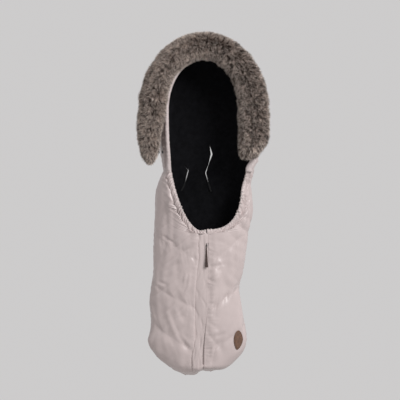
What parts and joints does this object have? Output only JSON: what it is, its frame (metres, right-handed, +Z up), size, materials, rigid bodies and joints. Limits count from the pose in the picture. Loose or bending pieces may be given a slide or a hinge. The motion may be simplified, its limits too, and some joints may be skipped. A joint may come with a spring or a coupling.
{
  "type": "stroller footmuff",
  "caption": "Quilted stroller footmuff with a front zip, a hood with a fur trim, a fleece lining, harness slots and head straps.",
  "frame": {"origin": "middle of the bar that the two head straps go round, between the straps' planes", "axes": "+Z up along the hanging footmuff towards the hood, -Y out of the front with the zip, +X to the right seen from the front"},
  "size_m": [0.3848, 0.2178, 1.0007],
  "materials": {
    "satin": "quilted satin",
    "wadding": "polyester wadding",
    "fleece": "black fleece",
    "fur": "long faux fur",
    "trim_backing": "woven backing strip",
    "zip_tape": "woven tape",
    "zip_teeth": "moulded teeth",
    "dark_metal": "dark plated metal",
    "pull_leather": "dark brown leather",
    "label_leather": "brown leather, bare",
    "grip_fabric": "non-slip dotted fabric",
    "webbing": "black webbing",
    "elastic": "woven elastic cord"
  },
  "bodies": {
    "bag_and_hood": {"back_outer": "satin", "back_wadding": "wadding", "back_lining": "fleece", "hood_outer": "satin", "hood_wadding": "wadding", "hood_lining": "fleece", "left_side_outer": "satin", "left_side_wadding": "wadding", "left_side_lining": "fleece", "right_side_outer": "satin", "right_side_wadding": "wadding", "right_side_lining": "fleece", "left_neck_casing": "satin", "left_neck_elastic": "elastic", "left_shoulder_slot_binding": "fleece", "left_head_strap": "webbing", "left_strap_closure": "grip_fabric", "right_neck_casing": "satin", "right_neck_elastic": "elastic", "right_shoulder_slot_binding": "fleece", "right_head_strap": "webbing", "right_strap_closure": "grip_fabric", "crotch_slot_binding": "fleece", "hood_rim_binding": "satin", "fur_trim": "fur", "trim_strip": "trim_backing", "rim_snap_stud_1": "dark_metal", "trim_snap_socket_1": "dark_metal", "rim_snap_stud_2": "dark_metal", "trim_snap_socket_2": "dark_metal", "rim_snap_stud_3": "dark_metal", "trim_snap_socket_3": "dark_metal", "rim_snap_stud_4": "dark_metal", "trim_snap_socket_4": "dark_metal", "rim_snap_stud_5": "dark_metal", "trim_snap_socket_5": "dark_metal", "bottom_stop": "dark_metal", "leather_label": "label_leather", "grip_patch": "grip_fabric"},
    "left_flap": {"left_flap_outer": "satin", "left_flap_wadding": "wadding", "left_flap_lining": "fleece", "left_flap_casing": "satin", "left_flap_elastic": "elastic", "left_zip_tape": "zip_tape", "left_zip_teeth": "zip_teeth", "left_top_stop": "dark_metal", "zip_placket": "satin"},
    "right_flap": {"right_flap_outer": "satin", "right_flap_wadding": "wadding", "right_flap_lining": "fleece", "right_flap_casing": "satin", "right_flap_elastic": "elastic", "right_zip_tape": "zip_tape", "right_zip_teeth": "zip_teeth", "right_top_stop": "dark_metal"},
    "zip_slider": {"slider": "dark_metal"},
    "zip_pull": {"pull_ring": "dark_metal", "leather_pull": "pull_leather"}
  },
  "joints": [
    {"name": "left_flap_fold", "type": "hinge", "parent": "bag_and_hood", "child": "left_flap", "pos_m": [-0.092, -0.137, -0.42], "axis": [0.165, 0.0127, -0.9862], "range_deg": [0, 110]},
    {"name": "right_flap_fold", "type": "hinge", "parent": "bag_and_hood", "child": "right_flap", "pos_m": [0.133, -0.1145, -0.42], "axis": [0.213, 0.0311, 0.9766], "range_deg": [0, 110]},
    {"name": "zip_run", "type": "slide", "parent": "right_flap", "child": "zip_slider", "axis": [0, 0.0378, -0.9993], "range_m": [0, 0.328], "deforming": ["left_zip_teeth", "right_zip_teeth"]},
    {"name": "pull_hinge", "type": "hinge", "parent": "zip_slider", "child": "zip_pull", "pos_m": [0.0158, -0.13935, -0.53619], "axis": [-1, 0, 0], "range_deg": [0, 150]}
  ]
}
